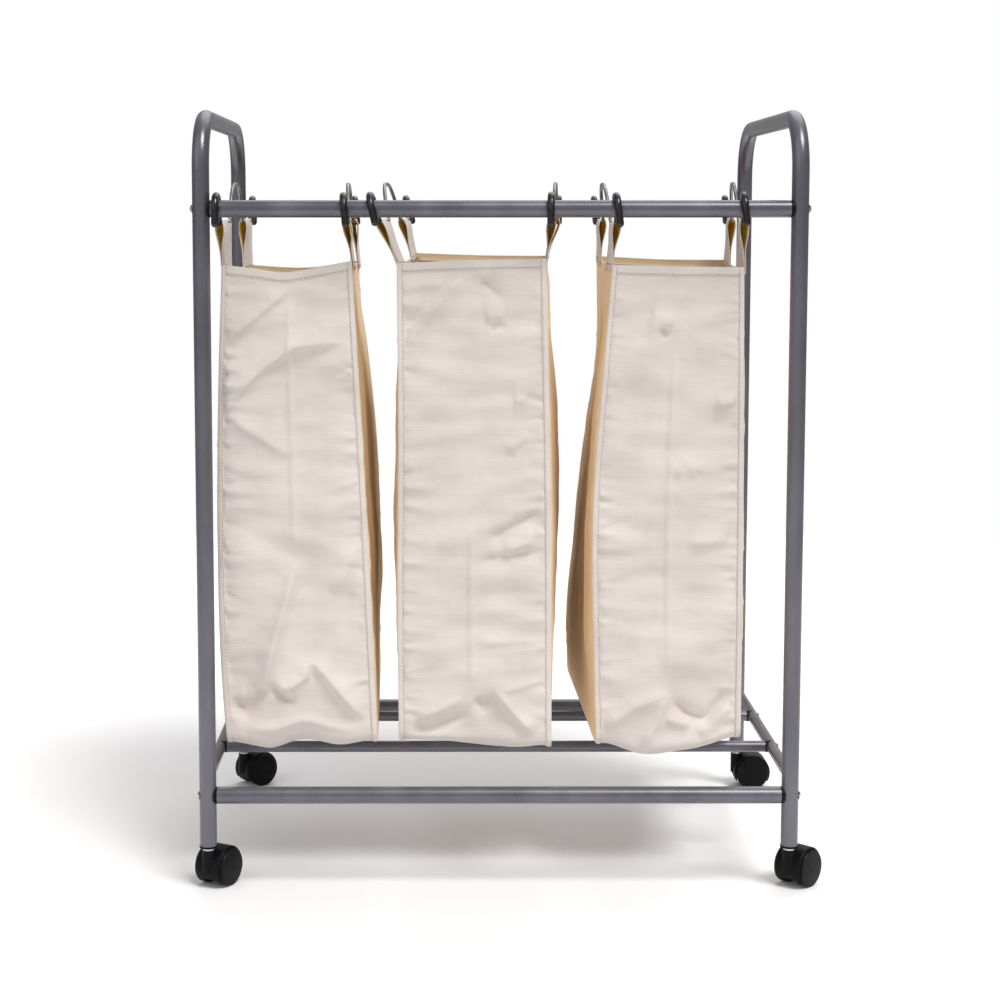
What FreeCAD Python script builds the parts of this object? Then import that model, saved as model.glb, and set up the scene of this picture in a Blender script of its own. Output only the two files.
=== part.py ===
"""Three-bag rolling laundry sorter: a tube frame on twin-wheel casters, with
three canvas bags that hang from wire hangers and lift straight off.

Millimetres, +Z up, floor at z = 0, front towards -Y. The frame is drawn about
its own centre and moved at the end, so that the origin is at the middle of the
footprint with the casters parked as they are here.
"""
import FreeCAD, Part
import math
import os
from FreeCAD import Placement, Rotation, Vector

# ---- frame ----------------------------------------------------------------
TUBE_R = 9.0             # main tube, 18 mm outside diameter
TUBE_WALL = 1.2
ROD_R = 6.25             # side bars and support rods, 12.5 mm
ROD_WALL = 1.0
POST_X = 310.0           # post centre lines, from the frame's centre
POST_Y = 185.0
POST_FOOT_Z = 47.0
HANDLE_Z = 818.0         # centre line of the tube across the top of each side
HANDLE_BEND_R = 55.0
TOP_RAIL_Z = 723.0
BOTTOM_RAIL_Z = 101.5
SIDE_BAR_Z = 121.0
SUPPORT_ROD_Y = 66.0
SADDLE_T = 1.2           # saddle washer between rail end and post, at its thinnest
SADDLE_WRAP = 1.8        # how far its rim reaches round the post
INSERT_LENGTH = 22.0
FIT_GAP = 0.05           # clearance between pieces of one assembly

# ---- fasteners --------------------------------------------------------------
BOLT_R = 2.5
BOLT_HEAD_R = 4.6
BOLT_HEAD_H = 2.6
BOLT_LENGTH = 38.0
SCREW_R = 2.0
SCREW_HEAD_R = 3.6
SCREW_HEAD_H = 2.2
SCREW_LENGTH = 26.0

# ---- casters ----------------------------------------------------------------
WHEEL_R = 20.0
WHEEL_INNER = 6.6        # inner face of a wheel, from the caster's middle
WHEEL_OUTER = 18.8       # crown of the wheel's domed outer face
HUB_R = 5.5
TRAIL = 18.0             # stem axis to axle, in plan
HOOD_R = 22.5
HOOD_INNER_R = 20.6
HOOD_HALF_WIDTH = 15.8
HOOD_SKIRT_Z = 10.0
WEB_HALF = 6.0
BOSS_R = 7.0
BOSS_TOP_Z = 42.2
AXLE_R = 2.5
STEM_R = 4.0
STEM_BOTTOM_Z = 18.0
STEM_TOP_Z = 74.0
COLLAR_R = 6.5
COLLAR_T = 2.3
RUNNING_GAP = 0.05
SOCKET_FLANGE_R = 9.6
SOCKET_FLANGE_T = 2.0
SOCKET_TOP_Z = 80.0
CASTERS = {              # corner: (side, depth side, heading of the trail in degrees)
    "front_left": (-1, -1, 61.0),
    "front_right": (1, -1, 47.0),
    "rear_left": (-1, 1, 40.0),
    "rear_right": (1, 1, 0.0),
}

# ---- hangers ----------------------------------------------------------------
WIRE_R = 2.0
SLEEVE_R = 3.9
HOOK_R = 14.0            # centre line of the wire round the rail
HOOK_DROP = 0.8          # hook centre below the rail centre, hanging on it
HOOK_TIP_DROP = 15.3
WIRE_DROP = 14.2         # straight wire below the rail centre
HUMP_HALF = 62.0         # hand hump at its base
HUMP_TOP_HALF = 44.0
HUMP_RISE = 42.2
HUMP_R = 52.0
WIRE_BEND_R = 6.0
HUMP_FOOT_R = 8.0
SLEEVE_PAST_BEND = 2.5   # vinyl on the straight wire, after the bend under the hook

# ---- bags -------------------------------------------------------------------
FABRIC_T = 1.5
BAG_TOP_Z = 666.0
BAG_BOTTOM_Z = 154.0
BAG_HALF_DEPTH = 170.0
CASING_INNER_Y = 68.0    # a fabric casing runs along the wire between these
CASING_OUTER_Y = 161.0
CASING_R = 4.2
# Each side of a bag, as x in front and at the rear: where its hanger hooks the rails,
# the bag's top edge, and its bottom edge. lean is how far the hanger tips, in degrees.
BAGS = {
    1: {
        "left": {"hooks": (-294.0, -293.0), "lean": 0.0, "top": (-291.0, -293.0), "bottom": (-291.0, -293.0)},
        "right": {"hooks": (-161.5, -166.5), "lean": 5.0, "top": (-155.5, -161.5), "bottom": (-136.5, -140.0)},
    },
    2: {
        "left": {"hooks": (-132.0, -102.0), "lean": 13.0, "top": (-108.0, -92.0), "bottom": (-107.0, -84.0)},
        "right": {"hooks": (52.5, 82.3), "lean": 0.0, "top": (48.5, 68.0), "bottom": (56.5, 73.0)},
    },
    3: {
        "left": {"hooks": (121.0, 127.0), "lean": 7.0, "top": (117.5, 128.0), "bottom": (104.0, 95.0)},
        "right": {"hooks": (252.8, 286.9), "lean": 5.0, "top": (255.5, 284.0), "bottom": (259.0, 287.0)},
    },
}

BACK_FROM_CENTRE = Vector(-12.3, -9.8, 0.0)   # frame centre, seen from the origin
UP = Vector(0, 0, 1)
ACROSS = Vector(1, 0, 0)
ALONG = Vector(0, 1, 0)


# ---- helpers ----------------------------------------------------------------
def cylinder(radius, start, end):
    return Part.makeCylinder(radius, (end - start).Length, start, end - start)


def box(low, high):
    size = high - low
    return Part.makeBox(size.x, size.y, size.z, low)


def unit(vector):
    return vector * (1.0 / vector.Length)


def rounded_path(points, radii):
    """A wire of straight runs joined by tangent arcs, one radius per inner point."""
    edges = []
    start = points[0]
    for before, corner, after, radius in zip(points, points[1:], points[2:], radii):
        back = unit(before - corner)
        onward = unit(after - corner)
        half_angle = back.getAngle(onward) / 2
        reach = radius / math.tan(half_angle)
        arc_start = corner + back * reach
        arc_end = corner + onward * reach
        middle = corner + unit(back + onward) * (radius / math.sin(half_angle) - radius)
        if (arc_start - start).Length > 1e-6:
            edges.append(Part.makeLine(start, arc_start))
        edges.append(Part.Arc(arc_start, middle, arc_end).toShape())
        start = arc_end
    edges.append(Part.makeLine(start, points[-1]))
    return Part.Wire(edges)


def swept(path, radius):
    first = path.OrderedEdges[0]
    start = path.OrderedVertexes[0].Point
    along = first.tangentAt(first.FirstParameter)
    ring = Part.Wire(Part.makeCircle(radius, start, along))
    return path.makePipeShell([ring], True, False)


def hollow_bar(radius, wall, start, end):
    return cylinder(radius, start, end).cut(cylinder(radius - wall, start, end))


def button_head(radius, height, centre, outward):
    """A low domed head with a hexagon socket, standing out along outward."""
    sphere_r = (radius ** 2 + height ** 2) / (2 * height)
    dome = Part.makeSphere(sphere_r, centre + outward * (height - sphere_r))
    head = dome.common(cylinder(radius, centre, centre + outward * height * 1.5))
    corners = []
    side = ALONG
    other = outward.cross(side)
    for step in range(7):
        angle = math.radians(60 * step)
        corners.append(centre + outward * height * 0.35
                       + (side * math.cos(angle) + other * math.sin(angle)) * radius * 0.42)
    socket = Part.Face(Part.makePolygon(corners)).extrude(outward * height * 2)
    return head.cut(socket)


def screw(radius, length, head_r, head_h, seat, outward):
    shank = cylinder(radius, seat - outward * length, seat)
    return shank.fuse(button_head(head_r, head_h, seat, outward)).removeSplitter()


# ---- frame pieces -----------------------------------------------------------
def side_frame(side):
    """Both posts and the handle of one end: a single bent tube."""
    x = side * POST_X
    points = [Vector(x, -POST_Y, POST_FOOT_Z), Vector(x, -POST_Y, HANDLE_Z),
              Vector(x, POST_Y, HANDLE_Z), Vector(x, POST_Y, POST_FOOT_Z)]
    path = rounded_path(points, [HANDLE_BEND_R, HANDLE_BEND_R])
    tube = swept(path, TUBE_R).cut(swept(path, TUBE_R - TUBE_WALL))
    reach = ACROSS * (TUBE_R * 1.5)
    for y in (-POST_Y, POST_Y):
        for z in (BOTTOM_RAIL_Z, TOP_RAIL_Z):
            hole = Vector(x, y, z)
            tube = tube.cut(cylinder(BOLT_R + FIT_GAP, hole - reach, hole + reach))
    return tube


def side_bar(side):
    """Thin tube welded between the two posts of one end."""
    x = side * POST_X
    bar = hollow_bar(ROD_R, ROD_WALL, Vector(x, -POST_Y, SIDE_BAR_Z), Vector(x, POST_Y, SIDE_BAR_Z))
    for y in (-POST_Y, POST_Y):
        bar = bar.cut(cylinder(TUBE_R, Vector(x, y, SIDE_BAR_Z - 20), Vector(x, y, SIDE_BAR_Z + 20)))
    reach = ACROSS * (ROD_R * 1.5)
    for y in (-SUPPORT_ROD_Y, SUPPORT_ROD_Y):
        hole = Vector(x, y, SIDE_BAR_Z)
        bar = bar.cut(cylinder(SCREW_R + FIT_GAP, hole - reach, hole + reach))
    return bar


def rail(y, z):
    end = POST_X - TUBE_R - SADDLE_T
    return hollow_bar(TUBE_R, TUBE_WALL, Vector(-end, y, z), Vector(end, y, z))


def rail_ends():
    for y in (-POST_Y, POST_Y):
        for z in (BOTTOM_RAIL_Z, TOP_RAIL_Z):
            for side in (-1, 1):
                yield side, y, z


def saddle_washer(side, y, z):
    """Ring between a rail's flat end and the round post, hollowed to fit the post."""
    inner_x = side * (POST_X - TUBE_R - SADDLE_T)
    outer_x = side * (POST_X - TUBE_R + SADDLE_WRAP)
    ring = cylinder(TUBE_R - FIT_GAP, Vector(inner_x, y, z), Vector(outer_x, y, z))
    post = cylinder(TUBE_R + FIT_GAP, Vector(side * POST_X, y, z - 20), Vector(side * POST_X, y, z + 20))
    bore = cylinder(BOLT_R + FIT_GAP, Vector(inner_x, y, z), Vector(side * POST_X, y, z))
    return ring.cut(post).cut(bore)


def rail_insert(side, y, z):
    """Threaded plug pressed into a rail's end."""
    outer = side * (POST_X - TUBE_R - SADDLE_T)
    inner = outer - side * INSERT_LENGTH
    plug = cylinder(TUBE_R - TUBE_WALL - FIT_GAP, Vector(inner, y, z), Vector(outer, y, z))
    return plug.cut(cylinder(BOLT_R + FIT_GAP, Vector(inner, y, z), Vector(outer, y, z)))


def rail_bolt(side, y, z):
    seat = Vector(side * (POST_X + TUBE_R), y, z)
    return screw(BOLT_R, BOLT_LENGTH, BOLT_HEAD_R, BOLT_HEAD_H, seat, ACROSS * side)


def support_rod(y):
    end = POST_X - ROD_R - SADDLE_T
    return hollow_bar(ROD_R, ROD_WALL, Vector(-end, y, SIDE_BAR_Z), Vector(end, y, SIDE_BAR_Z))


def rod_ends():
    for y in (-SUPPORT_ROD_Y, SUPPORT_ROD_Y):
        for side in (-1, 1):
            yield side, y


def rod_plug(side, y):
    """Plastic end of a support rod: a plug in the tube and a saddle against the side bar."""
    outer = side * (POST_X - ROD_R - SADDLE_T)
    inner = outer - side * SCREW_LENGTH * 0.6
    plug = cylinder(ROD_R - ROD_WALL - FIT_GAP, Vector(inner, y, SIDE_BAR_Z), Vector(outer, y, SIDE_BAR_Z))
    flange = cylinder(ROD_R + 0.3, Vector(outer, y, SIDE_BAR_Z), Vector(side * POST_X, y, SIDE_BAR_Z))
    bar = cylinder(ROD_R + FIT_GAP, Vector(side * POST_X, y - 20, SIDE_BAR_Z),
                   Vector(side * POST_X, y + 20, SIDE_BAR_Z))
    bore = cylinder(SCREW_R + FIT_GAP, Vector(inner, y, SIDE_BAR_Z), Vector(side * POST_X, y, SIDE_BAR_Z))
    return plug.fuse(flange).cut(bar).cut(bore)


def rod_screw(side, y):
    seat = Vector(side * (POST_X + ROD_R), y, SIDE_BAR_Z)
    return screw(SCREW_R, SCREW_LENGTH, SCREW_HEAD_R, SCREW_HEAD_H, seat, ACROSS * side)


def caster_socket(x, y):
    """Plastic plug in the foot of a post, bored for the caster's stem."""
    low = Vector(x, y, POST_FOOT_Z - SOCKET_FLANGE_T)
    foot = Vector(x, y, POST_FOOT_Z)
    top = Vector(x, y, SOCKET_TOP_Z)
    socket = cylinder(SOCKET_FLANGE_R, low, foot).fuse(cylinder(TUBE_R - TUBE_WALL - FIT_GAP, foot, top))
    bore_top = Vector(x, y, STEM_TOP_Z + 1)
    return socket.cut(cylinder(STEM_R + RUNNING_GAP, low, bore_top)).removeSplitter()


# ---- caster pieces, with the stem on the Z axis and the trail along +X --------
def caster_hood():
    axle = Vector(TRAIL, 0, WHEEL_R)
    half = ALONG * HOOD_HALF_WIDTH
    shell = cylinder(HOOD_R, axle - half, axle + half)
    rims = [edge for edge in shell.Edges if edge.Closed]
    shell = shell.makeFillet(3.0, rims)
    shell = shell.cut(box(Vector(-60, -60, -60), Vector(60, 60, HOOD_SKIRT_Z)))
    boss = cylinder(BOSS_R, Vector(0, 0, STEM_BOTTOM_Z), Vector(0, 0, BOSS_TOP_Z))
    hood = shell.fuse(boss)
    for side in (-1, 1):
        hood = hood.cut(cylinder(HOOD_INNER_R, axle + ALONG * side * WEB_HALF, axle + ALONG * side * 40))
    hood = hood.cut(cylinder(AXLE_R, axle - half, axle + half))
    hood = hood.cut(cylinder(STEM_R, Vector(0, 0, STEM_BOTTOM_Z), Vector(0, 0, BOSS_TOP_Z + 1)))
    return hood.removeSplitter()


def caster_stem():
    stem = cylinder(STEM_R, Vector(0, 0, STEM_BOTTOM_Z), Vector(0, 0, STEM_TOP_Z))
    stem = stem.makeChamfer(1.0, [edge for edge in stem.Edges if edge.Closed])
    collar = cylinder(COLLAR_R, Vector(0, 0, BOSS_TOP_Z), Vector(0, 0, BOSS_TOP_Z + COLLAR_T))
    return stem.fuse(collar).removeSplitter()


def caster_axle():
    axle = Vector(TRAIL, 0, WHEEL_R)
    half = ALONG * (WHEEL_OUTER - 3.5)
    return cylinder(AXLE_R, axle - half, axle + half)


def caster_wheel(side):
    """Moulded wheel: hub with a blind bore, hollow back, tread and domed face."""
    bore_end = WHEEL_OUTER - 3.0
    bore_r = AXLE_R + RUNNING_GAP
    outline = [
        (bore_r, WHEEL_INNER), (HUB_R, WHEEL_INNER), (HUB_R, 14.0), (16.5, 14.0),
        (16.5, 7.6), (19.2, 7.6), (WHEEL_R, 8.6), (WHEEL_R, 16.4), (19.2, 17.6),
    ]
    rim_r, rim_width = outline[-1]
    rise = WHEEL_OUTER - rim_width
    sphere_r = (rim_r ** 2 + rise ** 2) / (2 * rise)
    middle_r = rim_r / 2
    dome_middle = (middle_r, WHEEL_OUTER - sphere_r + math.sqrt(sphere_r ** 2 - middle_r ** 2))
    crown = (0.0, WHEEL_OUTER)
    inside = [(0.0, bore_end), (bore_r, bore_end)]

    def place(point):
        return Vector(TRAIL + point[0], side * point[1], WHEEL_R)

    edges = []
    points = [place(point) for point in outline]
    for start, end in zip(points, points[1:]):
        edges.append(Part.makeLine(start, end))
    edges.append(Part.Arc(points[-1], place(dome_middle), place(crown)).toShape())
    tail = [place(crown)] + [place(point) for point in inside] + [points[0]]
    for start, end in zip(tail, tail[1:]):
        edges.append(Part.makeLine(start, end))
    face = Part.Face(Part.Wire(edges))
    wheel = face.revolve(Vector(TRAIL, 0, WHEEL_R), ALONG, 360)
    solid = Part.Solid(wheel) if wheel.ShapeType == "Shell" else wheel
    if solid.Volume < 0:
        solid.reverse()
    return solid


# ---- hanger pieces, in their own plane (x = 0) with the rail centres at z = 0 --
def hanger_points():
    hook_top = HOOK_R - HOOK_DROP
    front = -POST_Y
    half = [
        Vector(0, front - HOOK_R, -HOOK_TIP_DROP),
        Vector(0, front - HOOK_R, hook_top),
        Vector(0, front + HOOK_R, hook_top),
        Vector(0, front + HOOK_R, -WIRE_DROP),
        Vector(0, -HUMP_HALF, -WIRE_DROP),
        Vector(0, -HUMP_TOP_HALF, HUMP_RISE - WIRE_DROP),
    ]
    mirrored = [Vector(0, -point.y, point.z) for point in reversed(half)]
    return half + mirrored


def hanger_wire():
    corner_radii = [HOOK_R, HOOK_R, WIRE_BEND_R, HUMP_FOOT_R, HUMP_R]
    path = rounded_path(hanger_points(), corner_radii + corner_radii[::-1])
    return swept(path, WIRE_R)


def hook_sleeve(end):
    """Dipped vinyl over one hook, from its rounded tip to the start of the straight wire; end is -1 in front."""
    tip, top_out, top_in, bend = hanger_points()[:4]
    wire_end = bend + ALONG * (WIRE_BEND_R + SLEEVE_PAST_BEND)
    path = rounded_path([tip, top_out, top_in, bend, wire_end], [HOOK_R, HOOK_R, WIRE_BEND_R])
    sleeve = swept(path, SLEEVE_R).fuse(Part.makeSphere(SLEEVE_R, tip)).cut(swept(path, WIRE_R))
    if end > 0:
        sleeve = sleeve.mirror(Vector(0, 0, 0), ALONG)
    return sleeve


def hanging_place(side):
    """Place of one hanger on the rails: leant about the rail line, then turned and moved."""
    front_x, rear_x = side["hooks"]
    lean = side["lean"]
    heading = math.degrees(math.atan2(rear_x - front_x, 2 * POST_Y))
    leaning = Rotation(ALONG, -lean)
    turning = Rotation(UP, -heading)
    lowered = (HOOK_R - HOOK_DROP) * (1 - math.cos(math.radians(lean)))
    shortened = POST_Y * (1 - math.cos(math.radians(heading)))
    lift = lowered + shortened    # a slanting hook rides up on its rail
    middle = Vector((front_x + rear_x) / 2, 0, TOP_RAIL_Z + lift)
    return Placement(middle, turning.multiply(leaning))


def hung(shape, side):
    placed = shape.copy()
    placed.Placement = hanging_place(side).multiply(placed.Placement)
    return placed


# ---- bag pieces -------------------------------------------------------------
def prism(face_points, direction):
    return Part.Face(Part.makePolygon(face_points + face_points[:1])).extrude(direction)


def side_panel(bag, name):
    """One gusset in two flat halves, folded outwards along a diagonal, its thickness inside the outline."""
    side = bag[name]
    inward = ACROSS * (FABRIC_T if name == "left" else -FABRIC_T)
    corners = [Vector(side["bottom"][0], -BAG_HALF_DEPTH, BAG_BOTTOM_Z),
               Vector(side["top"][0], -BAG_HALF_DEPTH, BAG_TOP_Z),
               Vector(side["top"][1], BAG_HALF_DEPTH, BAG_TOP_Z),
               Vector(side["bottom"][1], BAG_HALF_DEPTH, BAG_BOTTOM_Z)]
    bulge = corners[0].x + corners[2].x - corners[1].x - corners[3].x
    if bulge * inward.x > 0:
        corners = corners[1:] + corners[:1]
    first = prism(corners[:3], inward)
    second = prism([corners[2], corners[3], corners[0]], inward)
    return first.fuse(second).removeSplitter()


def wrap_end(bag, end):
    """Front (end 0) or rear (end 1) panel between the two side panels."""
    y = BAG_HALF_DEPTH if end else -BAG_HALF_DEPTH
    slack = FABRIC_T + FIT_GAP + 0.2
    left, right = bag["left"], bag["right"]
    outline = [Vector(left["bottom"][end] + slack, y, BAG_BOTTOM_Z),
               Vector(right["bottom"][end] - slack, y, BAG_BOTTOM_Z),
               Vector(right["top"][end] - slack, y, BAG_TOP_Z),
               Vector(left["top"][end] + slack, y, BAG_TOP_Z)]
    inward = -FABRIC_T if end else FABRIC_T
    return prism(outline, ALONG * inward)


def wrap_floor(bag):
    left_low = bag["left"]["bottom"]
    right_low = bag["right"]["bottom"]
    y = BAG_HALF_DEPTH - FABRIC_T
    slack = FABRIC_T + FIT_GAP + 0.6
    outline = [Vector(left_low[0] + slack, -y, BAG_BOTTOM_Z), Vector(right_low[0] - slack, -y, BAG_BOTTOM_Z),
               Vector(right_low[1] - slack, y, BAG_BOTTOM_Z), Vector(left_low[1] + slack, y, BAG_BOTTOM_Z)]
    return prism(outline, UP * FABRIC_T)


def casing(side, end):
    """Fabric loop round the straight wire, joined by a web to the bag's top edge."""
    place = hanging_place(side)
    near = Vector(0, end * CASING_INNER_Y, -WIRE_DROP)
    far = Vector(0, end * CASING_OUTER_Y, -WIRE_DROP)
    half = ACROSS * (FABRIC_T / 2)
    outlines = []
    for point in (near, far):
        wire = place.multVec(point)
        share = (wire.y + BAG_HALF_DEPTH) / (2 * BAG_HALF_DEPTH)
        front_top, rear_top = side["top"]
        foot = Vector(front_top + (rear_top - front_top) * share, wire.y, BAG_TOP_Z)
        outlines.append([foot - half, foot + half, wire + half, wire - half])
    web = Part.makeLoft([Part.makePolygon(outline + outline[:1]) for outline in outlines], True, True)
    loop = cylinder(CASING_R, place.multVec(near), place.multVec(far)).fuse(web)
    beyond = ALONG * end * WIRE_R
    bore = cylinder(WIRE_R + 0.3, place.multVec(near - beyond), place.multVec(far + beyond))
    return loop.cut(bore)


def bag_casings(bag):
    return [casing(side, end) for side in bag.values() for end in (-1, 1)]


def bag_sleeves(bag):
    return [hung(hook_sleeve(end), side) for side in bag.values() for end in (-1, 1)]


# ---- assembly ---------------------------------------------------------------
def group(shapes):
    return Part.makeCompound(list(shapes))


def frame_nodes():
    nodes = {}
    for name, side in (("left", -1), ("right", 1)):
        nodes["side_frame_" + name] = side_frame(side)
        nodes["side_bar_" + name] = side_bar(side)
    for name, y in (("front", -1), ("rear", 1)):
        nodes["top_rail_" + name] = rail(y * POST_Y, TOP_RAIL_Z)
        nodes["bottom_rail_" + name] = rail(y * POST_Y, BOTTOM_RAIL_Z)
        nodes["support_rod_" + name] = support_rod(y * SUPPORT_ROD_Y)
    nodes["rail_saddle_washers"] = group(saddle_washer(*end) for end in rail_ends())
    nodes["rail_end_inserts"] = group(rail_insert(*end) for end in rail_ends())
    nodes["rail_bolts"] = group(rail_bolt(*end) for end in rail_ends())
    nodes["rod_end_plugs"] = group(rod_plug(*end) for end in rod_ends())
    nodes["rod_screws"] = group(rod_screw(*end) for end in rod_ends())
    corners = [(side * POST_X, depth * POST_Y) for side, depth, _ in CASTERS.values()]
    nodes["caster_sockets"] = group(caster_socket(x, y) for x, y in corners)
    return nodes


def caster_nodes():
    nodes = {}
    for corner, (side, depth, heading) in CASTERS.items():
        place = Placement(Vector(side * POST_X, depth * POST_Y, 0), Rotation(UP, heading))
        pieces = {
            "hood": caster_hood(),
            "stem": caster_stem(),
            "axle": caster_axle(),
            "wheel_a": caster_wheel(-1),
            "wheel_b": caster_wheel(1),
        }
        for piece, shape in pieces.items():
            shape.Placement = place.multiply(shape.Placement)
            nodes["caster_" + corner + "_" + piece] = shape
    return nodes


def bag_nodes():
    nodes = {}
    for number, bag in BAGS.items():
        name = "bag_" + str(number)
        nodes[name + "_wrap"] = group([wrap_end(bag, 0), wrap_floor(bag), wrap_end(bag, 1)])
        nodes[name + "_casings"] = group(bag_casings(bag))
        nodes[name + "_hook_sleeves"] = group(bag_sleeves(bag))
        for side in bag:
            nodes[name + "_side_" + side] = side_panel(bag, side)
            nodes[name + "_hanger_" + side] = hung(hanger_wire(), bag[side])
    return nodes


def main():
    os.makedirs("parts", exist_ok=True)
    nodes = {}
    nodes.update(frame_nodes())
    nodes.update(caster_nodes())
    nodes.update(bag_nodes())
    for name, shape in nodes.items():
        shape.translate(BACK_FROM_CENTRE)
        if not shape.isValid():
            print("not valid:", name)
        shape.exportStep("parts/" + name + ".step")
    everything = Part.makeCompound(list(nodes.values())).optimalBoundingBox()
    print(len(nodes), "nodes, overall", round(everything.XLength, 1), round(everything.YLength, 1),
          round(everything.ZLength, 1), "centre x", round(everything.Center.x, 2),
          "y", round(everything.Center.y, 2), "low z", round(everything.ZMin, 2))


main()
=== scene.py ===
"""Looks of the rolling laundry sorter.

The tube frame, casters, wire hangers and hook sleeves keep their CAD shapes and
get their finishes here. The three canvas bags are built from mesh code: a wrap
(front, floor and rear in one strip), two gussets, four casings that loop over the
wires, and the thread of the seams. Bag shapes are in millimetres until they
become meshes; u runs across a panel and v down it, both from 0 to 1.
"""
import math

import bpy
import numpy as np
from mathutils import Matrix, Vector, noise


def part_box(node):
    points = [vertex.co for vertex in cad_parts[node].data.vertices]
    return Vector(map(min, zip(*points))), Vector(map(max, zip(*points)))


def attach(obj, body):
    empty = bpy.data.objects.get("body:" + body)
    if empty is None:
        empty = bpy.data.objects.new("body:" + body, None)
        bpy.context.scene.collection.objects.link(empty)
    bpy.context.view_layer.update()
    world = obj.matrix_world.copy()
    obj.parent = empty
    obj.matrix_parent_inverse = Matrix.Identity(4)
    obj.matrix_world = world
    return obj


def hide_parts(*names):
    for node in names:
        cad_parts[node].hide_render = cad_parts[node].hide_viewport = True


MM = 0.001

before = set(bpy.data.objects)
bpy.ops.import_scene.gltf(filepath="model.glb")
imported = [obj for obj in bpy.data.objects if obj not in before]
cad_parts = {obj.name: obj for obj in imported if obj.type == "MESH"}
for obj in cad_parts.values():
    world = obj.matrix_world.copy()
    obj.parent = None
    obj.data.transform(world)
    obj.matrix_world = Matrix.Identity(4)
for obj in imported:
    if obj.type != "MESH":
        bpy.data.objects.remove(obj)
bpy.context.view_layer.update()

# ---- camera and studio, metres ---------------------------------------------------
CAMERA_BACK = 1.995       # in front of the front posts
CAMERA_LEFT = 0.060       # of the frame's middle
CAMERA_HEIGHT = 0.7175
CAMERA_TILT = 5.53        # degrees, downwards
CAMERA_PAN = 0.10         # degrees, towards the right
CAMERA_LENS = 69.1        # millimetres, on a 36 mm sensor
CAMERA_SHIFT = (0.054, -0.10)
FLOOR_RADIUS = 2.2
BACKDROP_LIGHT = 1.0      # the white that surrounds the studio
ROOM_LIGHT = 0.40         # what that room gives the object

# ---- cloth, millimetres ------------------------------------------------------------
CLOTH = 0.9               # one ply of canvas
HEM = 10.0                # height of the folded top edge
HEM_RISE = 0.9
SEAM_BAND = 5.6           # seam allowance pressed flat beside each vertical edge
BAND_RISE = 1.1
ROLL = 12.0               # radius of the fold between a panel and the floor
GRID_FINE = 2.3
GRID_COARSE = 6.0
STITCH = 2.9
STITCH_GAP = 1.2
THREAD_R = 0.34
THREAD_SIDES = 5
THREAD_FLAT = 1.25        # a stitch is this much wider than it is high
FOLD_GAIN = 2.9           # how strongly all the listed folds stand out
GATHER_GAIN = 2.1
CASING_NEAR = 68.0        # each casing runs between these, from the middle of the bag
CASING_FAR = 163.0
CASING_CLOTH = 0.8
CASING_MOUTH = 1.12       # width of a casing at its front end, as a share of CASING_SECTION
CASING_TAIL = 0.40        # and at its rear end
WIRE_INSET = 20.0         # straight wire starts this far inside the rail's centre line


# ==== reading the frame ===============================================================
def node_points(name):
    """Vertices of a CAD node, in millimetres."""
    return np.array([vertex.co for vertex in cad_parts[name].data.vertices]) / MM


def box_middle(name):
    """Middle of a CAD node's box, in metres."""
    low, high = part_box(name)
    return (low + high) / 2


def panel_corners(name, outward):
    """Outer x of a side panel as {"front": (top, bottom), "rear": (top, bottom)}."""
    points = node_points(name)
    middle = (points.min(0) + points.max(0)) / 2
    corners = {}
    for end, toward in (("front", -1), ("rear", 1)):
        pair = []
        for level in (1, -1):
            near = (points[:, 1] - middle[1]) * toward > 0
            high = (points[:, 2] - middle[2]) * level > 0
            xs = points[near & high][:, 0]
            pair.append(float((xs * outward).max() * outward))
        corners[end] = tuple(pair)
    return corners


def wire_ends(name):
    """Centre of a hanger's straight wire just inside the front and the rear hook."""
    points = node_points(name)
    ends = []
    for rail, inward in (("top_rail_front", 1), ("top_rail_rear", -1)):
        y = box_middle(rail).y / MM + inward * WIRE_INSET
        ring = points[abs(points[:, 1] - y) < 1.2]
        ends.append(ring.mean(0))
    return ends


# ==== small mathematics ===============================================================
def smooth(t):
    """A soft step from 0 to 1."""
    t = np.clip(t, 0.0, 1.0)
    return t * t * (3 - 2 * t)


def through(pairs, t):
    """Value at t of a smooth curve through (t, value) pairs."""
    ts = np.array([pair[0] for pair in pairs], float)
    values = np.array([pair[1] for pair in pairs], float)
    t = np.asarray(t, float)
    if len(pairs) == 1:
        return np.full(t.shape, values[0])
    slopes = np.gradient(values, ts)
    i = np.clip(np.searchsorted(ts, t, side="right") - 1, 0, len(ts) - 2)
    span = ts[i + 1] - ts[i]
    x = np.clip((t - ts[i]) / span, 0, 1)
    rest = 1 - x
    return (values[i] * (1 + 2 * x) * rest ** 2 + values[i + 1] * (3 - 2 * x) * x ** 2
            + span * x * rest * (slopes[i] * rest - slopes[i + 1] * x))


def noise_field(points, scale, seed):
    """Smooth noise from -1 to 1 at every point of a grid, in millimetres."""
    shift = Vector((seed * 13.7, seed * 5.1, 0.0))
    flat = points.reshape(-1, 3) / scale
    values = [noise.noise(Vector(point) + shift) for point in flat]
    return np.array(values).reshape(points.shape[:-1])


def line_distance(points, x, y):
    """Signed distance from a line of points, and how far along it, from 0 to 1."""
    best = np.full(x.shape, 1e9)
    signed = np.zeros(x.shape)
    place = np.zeros(x.shape)
    lengths = [math.dist(a, b) for a, b in zip(points, points[1:])]
    done = 0.0
    for (ax, ay), (bx, by), length in zip(points, points[1:], lengths):
        dx, dy = (bx - ax) / length, (by - ay) / length
        t = np.clip((x - ax) * dx + (y - ay) * dy, 0, length)
        gap = np.hypot(x - ax - t * dx, y - ay - t * dy)
        side = np.sign(dx * (y - ay) - dy * (x - ax))
        closer = gap < best
        best = np.where(closer, gap, best)
        signed = np.where(closer, gap * side, signed)
        place = np.where(closer, (done + t) / sum(lengths), place)
        done += length
    return signed, place


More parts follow.
